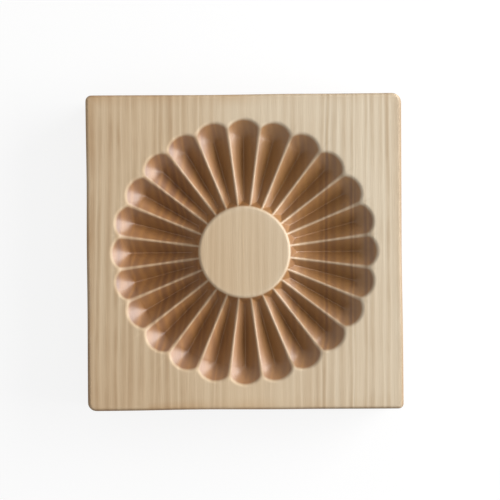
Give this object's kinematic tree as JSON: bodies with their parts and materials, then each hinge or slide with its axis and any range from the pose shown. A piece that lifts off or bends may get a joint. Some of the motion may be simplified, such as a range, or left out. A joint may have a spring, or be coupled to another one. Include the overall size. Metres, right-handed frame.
{
  "type": "cookie stamp",
  "caption": "Square block of pale hardwood with a carved rosette of tapering V-cut petals around a plain disc, pressed into dough to print the pattern.",
  "frame": {"origin": "centre of the plain back face", "axes": "+Z out of the carved face, +Y along the grain of the wood, +X across it"},
  "size_m": [0.1016, 0.1016, 0.0191],
  "materials": {
    "wood": "oiled, sanded smooth"
  },
  "bodies": {
    "root": {"carved_block": "wood"}
  },
  "joints": []
}
